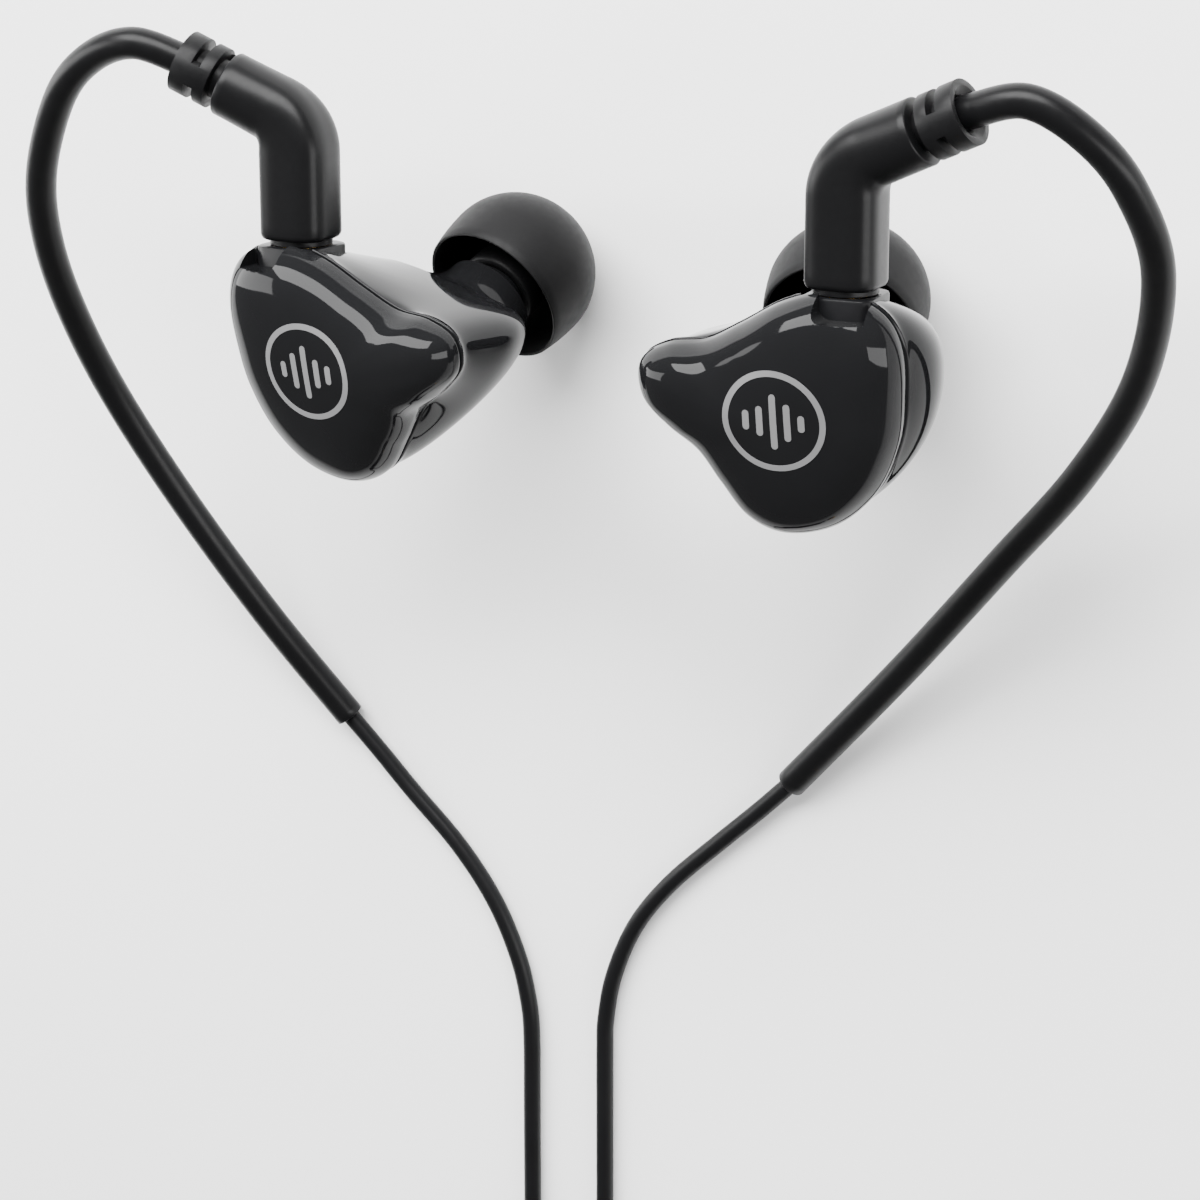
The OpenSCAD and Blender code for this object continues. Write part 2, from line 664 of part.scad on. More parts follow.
on_left() emblem();  // left_emblem
on_left() inner_shell();  // left_inner_shell
on_left() nozzle_screen();  // left_nozzle_screen
on_left() ear_tip();  // left_ear_tip
on_left() socket_boss();  // left_socket_boss
on_left() socket_shell();  // left_socket_shell
on_left() socket_insulator();  // left_socket_insulator
on_left() socket_contact();  // left_socket_contact
on_left() driver_frame();  // left_driver_frame
on_left() driver_magnet();  // left_driver_magnet
on_left() diaphragm();  // left_diaphragm
on_left() voice_coil();  // left_voice_coil
on_left() armature_driver();  // left_armature_driver
on_left() sound_tube();  // left_sound_tube
on_left() crossover_board();  // left_crossover_board
on_left() lead_wires();  // left_lead_wires
on_left_cable() plug_housing();  // left_plug_housing
on_left_cable() plug_shell();  // left_plug_shell
on_left_cable() plug_insulator();  // left_plug_insulator
on_left_cable() plug_pin();  // left_plug_pin
on_left_cable() strain_relief();  // left_strain_relief
left_ear_hook();
left_cord();
chin_slider();
cable_splitter();
main_lead();
cable_coil();
coil_tie();
jack_boot();
jack_body();
jack_sleeve();
jack_ring();
jack_tip();
jack_insulators();
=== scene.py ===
"""In-ear monitors on a table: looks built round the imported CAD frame."""
import json
import math

import bmesh
import bpy
from mathutils import Matrix, Vector
from mathutils.bvhtree import BVHTree


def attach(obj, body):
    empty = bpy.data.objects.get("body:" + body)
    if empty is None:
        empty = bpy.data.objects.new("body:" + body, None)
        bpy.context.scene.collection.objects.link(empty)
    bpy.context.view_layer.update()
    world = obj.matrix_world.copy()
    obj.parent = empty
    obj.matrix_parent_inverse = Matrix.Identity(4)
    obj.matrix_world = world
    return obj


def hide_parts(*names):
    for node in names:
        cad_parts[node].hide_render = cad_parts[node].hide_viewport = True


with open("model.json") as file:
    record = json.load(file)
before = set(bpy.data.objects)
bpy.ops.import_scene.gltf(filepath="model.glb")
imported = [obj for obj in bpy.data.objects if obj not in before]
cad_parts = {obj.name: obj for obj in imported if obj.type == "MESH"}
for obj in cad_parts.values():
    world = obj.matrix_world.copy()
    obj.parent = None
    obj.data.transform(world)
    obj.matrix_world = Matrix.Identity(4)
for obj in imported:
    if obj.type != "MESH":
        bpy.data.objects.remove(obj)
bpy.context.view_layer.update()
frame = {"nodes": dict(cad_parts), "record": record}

MM = 0.001
SIDES = ("right", "left")
STEM = {"right": Vector((-19.8, 16, 24.6)), "left": Vector((25, 15.9, 25.75))}
TURN = {"right": 9, "left": 1}
SLOT = {s["node"]: s["material_slot"] for s in frame["record"]["subparts"]}


# ---------------------------------------------------------------- camera
def add_camera():
    """The camera, over the pair and to its left, with +Y up in the picture."""
    data = bpy.data.cameras.new("camera")
    data.lens = 105.54
    data.sensor_width = 36
    data.clip_start = 0.01
    camera = bpy.data.objects.new("camera", data)
    bpy.context.scene.collection.objects.link(camera)
    eye = Vector((109.7, 63.6, 259.2)) * MM
    target = Vector((6.1, -9.4, 26.5)) * MM
    back = (eye - target).normalized()
    right = Vector((0, 1, 0)).cross(back).normalized()
    up = back.cross(right)
    turn = Matrix((right, up, back)).transposed().to_4x4()
    camera.matrix_world = Matrix.Translation(eye) @ turn
    bpy.context.scene.camera = camera


add_camera()


# ---------------------------------------------------------------- curves
def catmull(a, b, c, d, t):
    """The point at t between b and c of a smooth line through all four."""
    return 0.5 * ((2 * b) + (c - a) * t + (2 * a - 5 * b + 4 * c - d) * t * t
                  + (3 * b - a - 3 * c + d) * t ** 3)


def open_curve(points, steps):
    """A smooth line through the points, with steps parts between neighbours."""
    pts = [Vector(p) for p in points]
    last = len(pts) - 1
    line = []
    for k in range(last):
        around = [pts[max(k - 1, 0)], pts[k], pts[k + 1], pts[min(k + 2, last)]]
        line += [catmull(*around, i / steps) for i in range(steps)]
    return line + [pts[last]]


def closed_curve(points, count):
    """A smooth loop through the points, with count points in all."""
    pts = [Vector(p) for p in points]
    m = len(pts)
    line = []
    for i in range(count):
        s = i * m / count
        k = int(s)
        line.append(catmull(pts[(k - 1) % m], pts[k], pts[(k + 1) % m],
                            pts[(k + 2) % m], s - k))
    return line


def smooth(t):
    t = min(1, max(0, t))
    return t * t * (3 - 2 * t)


# ---------------------------------------------------------------- mesh helpers
def new_mesh(name, verts, faces, angle=40):
    """An object from points in millimetres, with its normals outward."""
    mesh = bpy.data.meshes.new(name)
    mesh.from_pydata([tuple(Vector(v) * MM) for v in verts], [], faces)
    bm = bmesh.new()
    bm.from_mesh(mesh)
    bmesh.ops.recalc_face_normals(bm, faces=bm.faces)
    bm.to_mesh(mesh)
    bm.free()
    mesh.shade_smooth()
    mesh.set_sharp_from_angle(angle=math.radians(angle))
    obj = bpy.data.objects.new(name, mesh)
    bpy.context.scene.collection.objects.link(obj)
    return obj


def ring_mesh(rings, closed=False, caps=True):
    """Points and faces of a skin over rings that have the same number of points."""
    m = len(rings[0])
    n = len(rings)
    verts = [p for r in rings for p in r]
    faces = []
    for i in range(n if closed else n - 1):
        for j in range(m):
            a, b = i * m + j, i * m + (j + 1) % m
            c, d = ((i + 1) % n) * m + (j + 1) % m, ((i + 1) % n) * m + j
            faces.append((a, b, c, d))
    if caps and not closed:
        for i in (0, n - 1):
            centre = sum((Vector(p) for p in rings[i]), Vector()) / m
            verts.append(centre)
            hub = len(verts) - 1
            faces += [(i * m + j, i * m + (j + 1) % m, hub) for j in range(m)]
    return verts, faces


def cross_frames(line):
    """Two side directions at each point of a line, turned as little as possible."""
    ways = [(line[min(i + 1, len(line) - 1)] - line[max(i - 1, 0)]).normalized()
            for i in range(len(line))]
    side = Vector((0, 0, 1)).cross(ways[0]).normalized()
    frames = []
    for way in ways:
        side = (side - way * side.dot(way)).normalized()
        frames.append((side, way.cross(side)))
    return frames


def tube_rings(line, radius, count=32):
    """Rings of the given radius, a number or a function of the share of the line."""
    rings = []
    for i, (p, (side, up)) in enumerate(zip(line, cross_frames(line))):
        r = radius(i / (len(line) - 1)) if callable(radius) else radius
        rings.append([p + r * (math.cos(2 * math.pi * j / count) * side
                               + math.sin(2 * math.pi * j / count) * up)
                      for j in range(count)])
    return rings


def lathe(profile, count=96):
    """Rings of a profile of (radius, height) round +Z."""
    return [[Vector((r * math.cos(2 * math.pi * j / count),
                     r * math.sin(2 * math.pi * j / count), h))
             for j in range(count)] for r, h in profile]


def rounded(profile, size=0.12, steps=3):
    """A profile with each inner corner cut back and rounded."""
    pts = [Vector((r, h, 0)) for r, h in profile]
    out = [pts[0]]
    for a, b, c in zip(pts, pts[1:], pts[2:]):
        cut = min(size, 0.45 * (b - a).length, 0.45 * (c - b).length)
        p, q = b + (a - b).normalized() * cut, b + (c - b).normalized() * cut
        for i in range(steps + 1):
            t = i / steps
            out.append((1 - t) ** 2 * p + 2 * t * (1 - t) * b + t * t * q)
    out.append(pts[-1])
    return [(p.x, p.y) for p in out]


def put(rings, matrix):
    return [[matrix @ Vector(p) for p in r] for r in rings]


def finish_piece(obj, body, *nodes):
    """The piece rides on the body and stands for the CAD nodes."""
    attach(obj, body)
    if nodes:
        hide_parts(*nodes)
        obj.data.materials.append(materials[SLOT[nodes[0]]])
    return obj


def soften(node, width, body, segments=2):
    """A copy of a CAD node with its edges rounded, in the node's place."""
    source = frame["nodes"][node]
    mesh = source.data.copy()
    mesh.name = node + "_soft"
    mesh.materials.clear()
    obj = bpy.data.objects.new(node + "_soft", mesh)
    bpy.context.scene.collection.objects.link(obj)
    obj.matrix_world = source.matrix_world
    bm = bmesh.new()
    bm.from_mesh(mesh)
    bmesh.ops.remove_doubles(bm, verts=bm.verts, dist=0.004 * MM)
    bmesh.ops.dissolve_limit(bm, angle_limit=math.radians(1), verts=bm.verts,
                             edges=bm.edges)
    sharp = [e for e in bm.edges if len(e.link_faces) == 2
             and e.calc_face_angle(0) > math.radians(32)]
    bmesh.ops.bevel(bm, geom=sharp, offset=width * MM, segments=segments,
                    profile=0.5, affect="EDGES", clamp_overlap=True)
    bm.to_mesh(mesh)
    bm.free()
    mesh.shade_smooth()
    mesh.set_sharp_from_angle(angle=math.radians(35))
    return finish_piece(obj, body, node)


# ---------------------------------------------------------------- materials
def mix_noise(tree, coords, size, low, high):
    """A noise with grains of the given size in millimetres, spread from low to high."""
    noise = tree.nodes.new("ShaderNodeTexNoise")
    noise.inputs["Scale"].default_value = 1 / size
    noise.inputs["Detail"].default_value = 4
    spread = tree.nodes.new("ShaderNodeMapRange")
    spread.inputs["From Min"].default_value = 0.3
    spread.inputs["From Max"].default_value = 0.7
    spread.inputs["To Min"].default_value = low
    spread.inputs["To Max"].default_value = high
    tree.links.new(coords, noise.inputs["Vector"])
    tree.links.new(noise.outputs["Fac"], spread.inputs["Value"])
    return spread.outputs["Result"]


def material(name, base, rough, metallic=0.0, vary=0.25, grain=0.5, bump=0.0,
             spread=0.05, ior=1.5, stretch=(1, 1, 1), patch=6.0):
    """Grainy plastic, rubber or metal: noise moves its colour, roughness and height."""
    mat = bpy.data.materials.new(name)
    mat.use_nodes = True
    tree = mat.node_tree
    shader = tree.nodes["Principled BSDF"]
    where = tree.nodes.new("ShaderNodeTexCoord")
    to_mm = tree.nodes.new("ShaderNodeMapping")
    to_mm.inputs["Scale"].default_value = [s / MM for s in stretch]
    tree.links.new(where.outputs["Object"], to_mm.inputs["Vector"])
    coords = to_mm.outputs["Vector"]
    colour = tree.nodes.new("ShaderNodeMix")
    colour.data_type = "RGBA"
    colour.inputs["A"].default_value = [c * (1 - vary) for c in base] + [1]
    colour.inputs["B"].default_value = [c * (1 + vary) for c in base] + [1]
    tree.links.new(mix_noise(tree, coords, patch, 0, 1), colour.inputs["Factor"])
    tree.links.new(colour.outputs["Result"], shader.inputs["Base Color"])
    tree.links.new(mix_noise(tree, coords, grain * 3, rough - spread, rough + spread),
                   shader.inputs["Roughness"])
    shader.inputs["Metallic"].default_value = metallic
    shader.inputs["IOR"].default_value = ior
    if bump:
        height = tree.nodes.new("ShaderNodeBump")
        height.inputs["Strength"].default_value = 1
        height.inputs["Distance"].default_value = bump * MM
        tree.links.new(mix_noise(tree, coords, grain, 0, 1), height.inputs["Height"])
        tree.links.new(height.outputs["Normal"], shader.inputs["Normal"])
    return mat


def woven(name, base, pitch):
    """Hook-and-loop tape: crossed waves of yarn."""
    mat = material(name, base, 0.85, vary=0.3, grain=0.15, bump=0.01)
    tree = mat.node_tree
    shader = tree.nodes["Principled BSDF"]
    to_mm = next(n for n in tree.nodes if n.type == "MAPPING")
    height = next(n for n in tree.nodes if n.type == "BUMP")
    height.inputs["Distance"].default_value = 0.06 * MM
    shader.inputs["Sheen Weight"].default_value = 0.4
    waves = []
    for way in ("X", "Y"):
        wave = tree.nodes.new("ShaderNodeTexWave")
        wave.bands_direction = way
        wave.inputs["Scale"].default_value = 0.31 / pitch
        tree.links.new(to_mm.outputs["Vector"], wave.inputs["Vector"])
        waves.append(wave)
    top = tree.nodes.new("ShaderNodeMath")
    top.operation = "MAXIMUM"
    tree.links.new(waves[0].outputs["Fac"], top.inputs[0])
    tree.links.new(waves[1].outputs["Fac"], top.inputs[1])
    tree.links.new(top.outputs["Value"], height.inputs["Height"])
    return mat


materials = {
    "shell_black": material("shell_black", (0.006, 0.0061, 0.0066), 0.055, vary=0.12,
                            grain=0.6, bump=0.0002, spread=0.015, patch=9,
                            ior=1.22),
    "emblem_grey": material("emblem_grey", (0.13, 0.13, 0.132), 0.5, vary=0.05,
                            grain=0.12, bump=0.002),
    "screen_grey": material("screen_grey", (0.08, 0.08, 0.085), 0.35, metallic=1),
    "silicone_black": material("silicone_black", (0.0035, 0.0035, 0.0038), 0.52,
                               vary=0.1, grain=0.2, bump=0.0006, spread=0.03, ior=1.22),
    "socket_black": material("socket_black", (0.004, 0.004, 0.0045), 0.3,
                             grain=0.3, bump=0.0005, spread=0.03, ior=1.25),
    "plug_gold": material("plug_gold", (0.83, 0.6, 0.27), 0.2, metallic=1, vary=0.08),
    "insulator": material("insulator", (0.75, 0.72, 0.65), 0.5, vary=0.05),
    "insulator_black": material("insulator_black", (0.01, 0.01, 0.01), 0.45),
    "housing_black": material("housing_black", (0.0035, 0.0035, 0.0038), 0.34,
                              vary=0.08, grain=0.16, bump=0.0003, spread=0.02, ior=1.22),
    "relief_black": material("relief_black", (0.0035, 0.0035, 0.0038), 0.42, vary=0.1,
                             grain=0.14, bump=0.0005, ior=1.22),
    "sleeve_black": material("sleeve_black", (0.0035, 0.0035, 0.0038), 0.34,
                             vary=0.1, grain=0.25, bump=0.0005, spread=0.03, ior=1.22),
    "cord_black": material("cord_black", (0.004, 0.004, 0.0044), 0.4, vary=0.12,
                           grain=0.2, bump=0.0007, spread=0.03, ior=1.22),
    "driver_grey": material("driver_grey", (0.45, 0.46, 0.48), 0.35, metallic=1),
    "magnet": material("magnet", (0.7, 0.7, 0.72), 0.2, metallic=1, vary=0.1),
    "film": material("film", (0.6, 0.56, 0.48), 0.35, vary=0.1),
    "copper_coil": material("copper_coil", (0.75, 0.33, 0.14), 0.3, metallic=1,
                            grain=0.05, bump=0.004, stretch=(1, 1, 6)),
    "armature_steel": material("armature_steel", (0.6, 0.61, 0.63), 0.32, metallic=1,
                               stretch=(1, 5, 1)),
    "clear_tube": material("clear_tube", (0.7, 0.68, 0.62), 0.3, vary=0.06),
    "board_green": material("board_green", (0.02, 0.12, 0.05), 0.4, vary=0.3),
    "wire_red": material("wire_red", (0.45, 0.05, 0.03), 0.35, vary=0.15),
    "tie_fabric": woven("tie_fabric", (0.02, 0.02, 0.021), 0.4),
}
for node, obj in frame["nodes"].items():
    obj.data.materials.clear()
    obj.data.materials.append(materials[SLOT[node]])
    obj.data.shade_smooth()
    obj.data.set_sharp_from_angle(angle=math.radians(35))

# ---------------------------------------------------------------- cord routes, mm
ARM_DIR = Vector((-0.904, 0.414, 0.108))
BARREL_H = 8.95
BARREL_W = 5.5
BARREL_T = 5.3
ARM_D = 5.1
ARM_L = 6.4
RELIEF_L = 3.8
CORD_R = 0.75
LEAD_R = 1.1
HOOK_R = 1.25
HOOK_ROUTE = {
    "right": [(-33, 30.4, 26.5), (-37.2, 29, 26), (-40.8, 25.6, 25),
              (-44.6, 19, 22.2), (-46.3, 12.8, 19), (-46.4, 6, 15.4),
              (-44.9, -1.8, 11.5), (-41, -11.4, 7.5), (-35.4, -21.4, 4),
              (-29, -30.5, 1.25)],
    "left": [(38.5, 30.1, 27.5), (42.4, 27.9, 26.5), (45.2, 24, 24.5),
             (46.5, 17.6, 21), (44.1, 8.8, 16), (38.8, 0.2, 11.5), (31.8, -8.2, 7.8),
             (22.6, -19.2, 4), (12.2, -31, 1.25)]}
CORD_ROUTE = {
    "right": [(-29, -30.5, 1.25), (-26.2, -33.5, 1), (-23.2, -36.8, 0.8),
              (-18.8, -41.2, CORD_R), (-15.4, -45.8, CORD_R), (-13.2, -50.6, CORD_R),
              (-12.2, -54.6, CORD_R), (-11.9, -58, CORD_R), (-11.9, -65, CORD_R),
              (-11.9, -75, CORD_R), (-11.9, -85, 0.8), (-11.1, -88.4, 1),
              (-9.9, -91.8, 1.15)],
    "left": [(12.2, -31, 1.25), (9.4, -33.8, 1), (5.7, -37.3, 0.8),
             (1.2, -41.7, CORD_R), (-2, -46, CORD_R), (-4, -50.8, CORD_R),
             (-4.8, -55, CORD_R), (-4.9, -58, CORD_R), (-4.9, -65, CORD_R),
             (-4.9, -75, CORD_R), (-4.9, -85, 0.8), (-5.6, -87.6, 1),
             (-6.6, -90.2, 1.15)]}
TAIL_ROUTE = {
    "right": [(-6.2, -116.8, 2.4), (-3.4, -120.6, 2.3), (1, -124.2, 2.2),
              (6, -125.4, 2.2)],
    "left": [(-4.2, -116, 2.4), (-1.8, -119.2, 2.3), (1.8, -122.4, 2.2),
             (6, -123.6, 2.2)]}
LEAD_ROUTE = [(18, -124.5, 2.2), (20.7, -123.7, 1.6), (23.4, -121, 1.1),
              (25.4, -116.4, 1.1), (26, -110, 1.1), (25.6, -103.5, 1.1),
              (24.2, -97, 1.1), (21.4, -91.4, 1.6), (17.2, -87.2, 2.6),
              (12, -84.8, 3.6), (6.5, -84.5, 4.4), (2, -85.4, 4.7)]
JACK_LEAD_ROUTE = [(10.6, -119.4, 7), (14.5, -119.2, 6.9), (19, -119.6, 6.2),
                   (23.5, -120, 5.2), (27.5, -119.8, 4.3), (30.8, -118.4, 3.7),
                   (32.5, -115.9, 3.6), (33, -113, 3.6)]
COIL = Vector((5, -103, 0))
JACK = Vector((33, -113, 3.6))


def coil_turns(start, turns, shown, radius, pitch, low, high):
    """Points of a coil wound inward on its lower layer and outward on its upper one."""
    points = []
    count = int(24 * shown)
    for i in range(count + 1):
        s = shown * i / count
        r = radius - pitch * min(s, turns - s)
        z = low + (high - low) * smooth((s - turns / 2) / 0.3 + 0.5)
        a = math.radians(start + 360 * s)
        points.append(COIL + Vector((r * math.cos(a), r * math.sin(a), z)))
    return points


def curve_object(name, line, radius):
    """A round tube along the line. Its points carry the radius, so its box is true."""
    data = bpy.data.curves.new(name, "CURVE")
    data.dimensions = "3D"
    data.bevel_depth = 1
    data.bevel_resolution = 5
    data.use_fill_caps = True
    spline = data.splines.new("POLY")
    spline.points.add(len(line) - 1)
    for point, p in zip(spline.points, line):
        point.co = (*(p * MM), 1)
        point.radius = radius * MM
    spline.use_smooth = True
    obj = bpy.data.objects.new(name, data)
    bpy.context.scene.collection.objects.link(obj)
    return obj


def add_cords():
    """The two cords and the lead, each with the line that it follows."""
    cords = []
    for side in SIDES:
        first = 14.1 if side == "right" else 12.4
        line = (open_curve(CORD_ROUTE[side], 6)[:-1]
                + open_curve([CORD_ROUTE[side][-1],
                              *coil_turns(180, 3.14, 3.03, first, 3.2, 1.15, 2.7),
                              *TAIL_ROUTE[side]], 2))
        cord = curve_object(side + "_free_cord", line, CORD_R)
        finish_piece(cord, "cable", side + "_cord")
        cords.append((cord, line))
    line = (open_curve(LEAD_ROUTE, 6)[:-1]
            + open_curve([LEAD_ROUTE[-1],
                          *coil_turns(120, 8.41, 8.41, 16.6, 2.3, 4.7, 7),
                          *JACK_LEAD_ROUTE], 2))
    lead = curve_object("lead", line, LEAD_R)
    finish_piece(lead, "cable", "main_lead", "cable_coil")
    return cords + [(lead, line)]


right_cord, left_cord, lead = add_cords()

# ---------------------------------------------------------------- floor and light
def add_floor():
    """The plain pale table, which isn't part of the object."""
    mesh = bpy.data.meshes.new("floor")
    half = 1200 * MM
    mesh.from_pydata([(-half, -half, 0), (half, -half, 0), (half, half, 0),
                      (-half, half, 0)], [],
                     [(0, 1, 2, 3)])
    floor = bpy.data.objects.new("floor", mesh)
    bpy.context.scene.collection.objects.link(floor)
    mat = material("floor_white", (0.95, 0.95, 0.95), 0.85, vary=0.005, grain=1,
                   patch=60)
    mesh.materials.append(mat)


def add_light(name, place, aim, size, power, spread=180):
    """A softbox at a place, aimed at a point."""
    data = bpy.data.lights.new(name, "AREA")
    data.shape = "RECTANGLE"
    data.size, data.size_y = size[0] * MM, size[1] * MM
    data.energy = power
    data.spread = math.radians(spread)
    lamp = bpy.data.objects.new(name, data)
    place, aim = Vector(place) * MM, Vector(aim) * MM
    lamp.location = place
    lamp.rotation_euler = (aim - place).to_track_quat("-Z", "Y").to_euler()
    bpy.context.scene.collection.objects.link(lamp)


def add_world(strength):
    """Even white light from all round."""
    world = bpy.data.worlds.new("studio")
    world.use_nodes = True
    back = world.node_tree.nodes["Background"]
    back.inputs["Color"].default_value = (1, 1, 1, 1)
    back.inputs["Strength"].default_value = strength
    bpy.context.scene.world = world


add_floor()
add_world(0.42)
add_light("top_softbox", (-60, 330, 300), (0, 0, 20), (560, 260), 11)
add_light("left_softbox", (-420, 60, 160), (0, 0, 20), (160, 380), 2.2)
add_light("right_softbox", (420, -20, 200), (0, 0, 20), (140, 380), 2)


# ---------------------------------------------------------------- earphone frames
def ear_matrix(side):
    """From the earphone's own millimetres to the table's, with its turn."""
    flip = Matrix.Diagonal((-1, 1, 1, 1)) if side == "left" else Matrix.Identity(4)
    return (Matrix.Translation(STEM[side]) @ flip
            @ Matrix.Rotation(math.radians(-TURN[side]), 4, "Y"))


def plug_matrix(side):
    """From the plug's own millimetres to the table's: it doesn't turn."""
    flip = Matrix.Diagonal((-1, 1, 1, 1)) if side == "left" else Matrix.Identity(4)
    return Matrix.Translation(STEM[side]) @ flip


# ---------------------------------------------------------------- shell
OUTLINE = [(-1.8, 0.2), (-3.9, -1.1), (-4.9, -3.6), (-4.9, -7.2), (-4.3, -10.9),
           (-2.5, -14.7), (0.5, -17.5), (4.2, -18.5), (7.1, -17.4), (9.2, -14.6),
           (11, -11.9), (13.4, -10), (15.1, -8), (15, -5.6), (12.9, -4.3),
           (10, -3.8), (7.2, -2.3), (4, -0.4), (1, 0.5)]
BELLY = [(-1.8, 0.2), (-3.9, -1.1), (-4.9, -3.6), (-4.9, -7.2), (-4.3, -10.9),
         (-2.5, -14.7), (0.5, -17.5), (4.3, -18.5), (8.1, -17.4), (11.4, -15),
         (13.7, -12.2), (15, -9.6), (15.3, -7.2), (14.6, -5.4), (12.7, -4.2),
         (10, -3.2), (7.2, -2), (4, -0.4), (1, 0.5)]
CENTRE = Vector((4.6, -9, 0))
SEAM_N = 2.2
FACE_H = 4.2
FACE_LEAN = Matrix.Rotation(math.radians(13), 4, "X")
ROUND = 190
base_curve = closed_curve([(*p, 0) for p in OUTLINE], ROUND)
belly_curve = closed_curve([(*p, 0) for p in BELLY], ROUND)
TIP_RIM = Vector((6.2, -6.6, -16.7))
TIP_TURN = (Matrix.Rotation(math.radians(-7), 4, "Y")
            @ Matrix.Rotation(math.radians(208), 4, "X"))
TIP = Matrix.Translation(TIP_RIM) @ TIP_TURN
# Share of the outline and of the height, from the crown to the seam's groove.
FACE_ROWS = [(0.02, 1.06), (0.25, 1.045), (0.45, 1.01), (0.62, 0.95), (0.75, 0.87),
             (0.86, 0.75), (0.93, 0.6), (0.975, 0.43), (1, 0.27), (1.004, 0.15),
             (1.002, 0.07), (0.99, 0.045), (0.97, 0.04)]
# Neck's share, belly's share, sizes left, right and along, shift, height, neck's
# radius and place.
SHELL_ROWS = [(0, 0, 0.975, 0.975, 0.975, 0, 2.2, 7, -9),
              (0, 0, 0.995, 0.995, 0.995, 0, 2.17, 7, -9),
              (0, 0.02, 1.012, 1.005, 1.004, 0, 2.02, 7, -9),
              (0, 0.08, 1.05, 1, 1.003, -0.15, 1.6, 7, -9),
              (0, 0.25, 1.1, 1, 1, -0.4, 0.8, 7, -9),
              (0, 0.65, 1.16, 1, 0.97, -0.8, -1, 7, -9),
              (0, 0.95, 1.16, 1.02, 0.84, -1, -3, 7, -9),
              (0, 1, 1.08, 1.03, 0.71, -0.8, -5, 7, -9),
              (0.04, 1, 0.98, 1, 0.6, -0.6, -6.8, 6.6, -8),
              (0.15, 1, 0.88, 0.92, 0.53, -0.5, -8.2, 6, -7),
              (0.36, 1, 0.76, 0.82, 0.48, -0.4, -9.2, 5.2, -5.8),
              (0.62, 1, 0.64, 0.68, 0.46, 0, -9.8, 4.6, -4.6),
              (0.87, 1, 0.5, 0.5, 0.5, 0, -10.2, 4.3, -3.4),
              (1, 1, 0.5, 0.5, 0.5, 0, -10, 4.1, -2),
              (1, 1, 0.5, 0.5, 0.5, 0, -10, 3.9, -0.6)]


ROW_STEPS = 5
NECK_ROW = 9                           # the shell's first row that is neck


def smooth_rows(rows, steps):
    """Rows of numbers with catmull steps between them."""
    last = len(rows) - 1
    out = []
    for k in range(last):
        a, b = rows[max(k - 1, 0)], rows[k]
        c, d = rows[k + 1], rows[min(k + 2, last)]
        out += [[catmull(*v, i / steps) for v in zip(a, b, c, d)] for i in range(steps)]
    return out + [list(rows[last])]


def face_ring(k, n):
    """The faceplate's outline at share k of its size and height n."""
    return [FACE_LEAN @ (CENTRE + k * (p - CENTRE) + Vector((0, 0, n)))
            for p in base_curve]


def shell_ring(row):
    """One ring of the inner shell: outline, belly and neck mixed by the row's shares."""
    neck, full, left, right, high, shift, n, radius, place = row
    tip_way = (TIP_TURN @ Vector((0, 0, 1))).normalized()
    x_way = (Vector((1, 0, 0)) - tip_way.x * tip_way).normalized()
    y_way = (-tip_way).cross(x_way)
    ring = []
    for a, b in zip(base_curve, belly_curve):
        d = (1 - full) * a + full * b - CENTRE
        v = (a - CENTRE).normalized()
        flat = Vector((CENTRE.x + (left if d.x < 0 else right) * d.x,
                       CENTRE.y + shift + high * d.y, n))
        round_ = TIP_RIM + place * tip_way + radius * (v.x * x_way + v.y * y_way)
        ring.append((1 - neck) * (FACE_LEAN @ flat) + neck * round_)
    return ring


def relax(rings, first, last, passes):
    """Evens out the skin between two rings, which stay as they are."""
    m = len(rings[0])
    for _ in range(passes):
        before = rings
        rings = [list(r) for r in before]
        for i in range(first + 1, last):
            above, row, below = before[i - 1], before[i], before[i + 1]
            for j in range(m):
                around = above[j] + below[j] + row[j - 1] + row[(j + 1) % m]
                rings[i][j] = 0.5 * row[j] + 0.125 * around
    return rings


def cut(obj, cutter_verts, cutter_faces):
    """Cuts a closed shape out of the piece."""
    cutter = new_mesh(obj.name + "_cutter", cutter_verts, cutter_faces)
    mod = obj.modifiers.new("cut", "BOOLEAN")
    mod.operation = "DIFFERENCE"
    mod.solver = "EXACT"
    mod.object = cutter
    depsgraph = bpy.context.evaluated_depsgraph_get()
    done = bpy.data.meshes.new_from_object(obj.evaluated_get(depsgraph))
    obj.modifiers.clear()
    obj.data = done
    bpy.data.objects.remove(cutter)
    done.shade_smooth()
    done.set_sharp_from_angle(angle=math.radians(40))


BOSS_W = 5.4
BOSS_TOP = -0.45
BOSS_L = 4.8
SOCKET_R = 2.3
NOTCH_Y = -1.95
NOTCH_W = 3.8


def boss_rings(grow, top, depth, corner=1.1, count=8):
    """Rounded square rings down the barrel's axis."""
    half = BOSS_W / 2 + grow
    flat = []
    for sx, sy in ((1, 1), (-1, 1), (-1, -1), (1, -1)):
        for i in range(count + 1):
            a = math.atan2(sy, sx) - math.pi / 4 + math.pi / 2 * i / count
            flat.append((sx * (half - corner) + corner * math.cos(a),
                         sy * (half - corner) + corner * math.sin(a)))
    return [[Vector((x * k, y, z * k)) for x, z in flat]
            for y, k in ((top, 1), (top - depth, 1))]


def notch_rings():
    """The window in the faceplate before the boss, round at its inner corner."""
    left, r = -BOSS_W / 2 - 0.06, 0.9
    right = left + NOTCH_W
    flat = [(left, NOTCH_Y), (right - r, NOTCH_Y)]
    for i in range(9):
        a = math.radians(-90 + 90 * i / 8)
        flat.append((right - r + r * math.cos(a), NOTCH_Y + r + r * math.sin(a)))
    flat += [(right, 4), (left, 4)]
    return [[Vector((x, y, z)) for x, y in flat] for z in (0, 9)]


